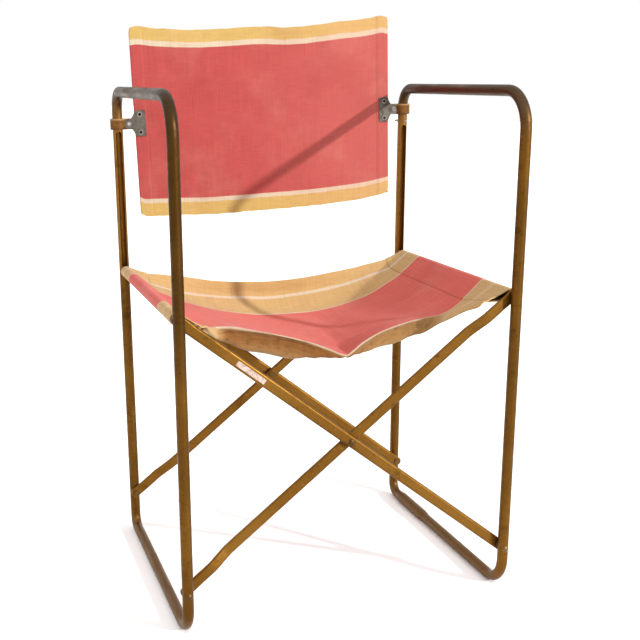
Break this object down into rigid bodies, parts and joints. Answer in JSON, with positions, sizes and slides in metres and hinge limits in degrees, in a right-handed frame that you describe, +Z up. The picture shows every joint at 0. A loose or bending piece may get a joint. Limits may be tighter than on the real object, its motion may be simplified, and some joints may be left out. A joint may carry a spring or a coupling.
{
  "type": "folding deck chair",
  "caption": "Scissor-folding chair: two closed tubular side frames with armrests, crossed front and rear bars, sling canvas seat and a strapped canvas back.",
  "frame": {"origin": "centre of the overall box at floor level", "axes": "+X to the right as seen from the front, +Y to the back of the chair, +Z up; the chair faces -Y"},
  "size_m": [0.5112, 0.4348, 0.8485],
  "materials": {
    "bronze_frame": "bronze paint, worn and mottled",
    "bronze_bar": "bronze paint, satin",
    "bronze_rivet": "painted over, rubbed on the crown",
    "bare_steel": "dull, slightly rusted",
    "grey_steel": "dull zinc grey",
    "plated_rivet": "plated, scuffed",
    "tan_leather": "smooth, darkened at the edges",
    "striped_canvas": "faded red cotton canvas with ochre and off-white stripes",
    "label_paper": "matt, stained"
  },
  "bodies": {
    "left_frame": {"left_side_frame": "bronze_frame", "left_joint_plug": "bare_steel", "left_joint_rivet": "bronze_rivet", "front_left_pivot_rivet": "bronze_rivet", "rear_left_pivot_rivet": "bronze_rivet", "front_left_pivot_washer": "bare_steel", "rear_left_pivot_washer": "bare_steel"},
    "inner_cross": {"front_inner_bar": "bronze_bar", "rear_inner_bar": "bronze_bar", "right_seat_rail": "bronze_bar", "front_right_stud": "bare_steel", "rear_right_stud": "bare_steel"},
    "outer_cross": {"front_outer_bar": "bronze_bar", "rear_outer_bar": "bronze_bar", "front_cross_rivet": "bronze_rivet", "rear_cross_rivet": "bronze_rivet", "front_cross_washer": "bare_steel", "rear_cross_washer": "bare_steel", "left_seat_rail": "bronze_bar", "front_left_stud": "bare_steel", "rear_left_stud": "bare_steel", "seat_canvas": "striped_canvas", "bar_label": "label_paper"},
    "right_frame": {"right_side_frame": "bronze_frame", "right_joint_sleeve": "bronze_frame", "front_right_pivot_rivet": "bronze_rivet", "rear_right_pivot_rivet": "bronze_rivet", "front_right_pivot_washer": "bare_steel", "rear_right_pivot_washer": "bare_steel", "right_stop_pin": "bare_steel"},
    "back_left": {"back_canvas": "striped_canvas", "left_batten": "grey_steel", "left_front_plate": "grey_steel", "left_rear_plate": "grey_steel", "left_hem_rivets": "plated_rivet", "left_strap_rivet": "plated_rivet", "left_strap": "tan_leather"},
    "back_right": {"right_batten": "grey_steel", "right_front_plate": "grey_steel", "right_rear_plate": "grey_steel", "right_hem_rivets": "plated_rivet", "right_strap_rivet": "plated_rivet", "right_strap": "tan_leather"}
  },
  "joints": [
    {"name": "fold", "type": "hinge", "parent": "left_frame", "child": "inner_cross", "pos_m": [-0.244, 0, 0.069], "axis": [0, -1, 0], "range_deg": [0, 36.5], "deforming": ["seat_canvas", "back_canvas"]},
    {"name": "crossing_pivot", "type": "hinge", "parent": "inner_cross", "child": "outer_cross", "pos_m": [0, 0, 0.262], "axis": [0, -1, 0], "range_deg": [-73, 0]},
    {"name": "right_foot_pivot", "type": "hinge", "parent": "outer_cross", "child": "right_frame", "pos_m": [0.244, 0, 0.069], "axis": [0, -1, 0], "range_deg": [0, 36.5]},
    {"name": "back_tilt", "type": "hinge", "parent": "left_frame", "child": "back_left", "pos_m": [-0.244, 0.204, 0.6869], "axis": [0.9994, 0, 0.0349], "range_deg": [-3, 3]},
    {"name": "back_tilt_right", "type": "hinge", "parent": "right_frame", "child": "back_right", "pos_m": [0.244, 0.204, 0.7027], "axis": [0.9994, 0, 0.0349], "range_deg": [-3, 3]}
  ],
  "couplings": [
    {"joint": "crossing_pivot", "follows": "fold", "ratio": -2},
    {"joint": "right_foot_pivot", "follows": "fold", "ratio": 1},
    {"joint": "back_tilt_right", "follows": "back_tilt", "ratio": 1}
  ]
}
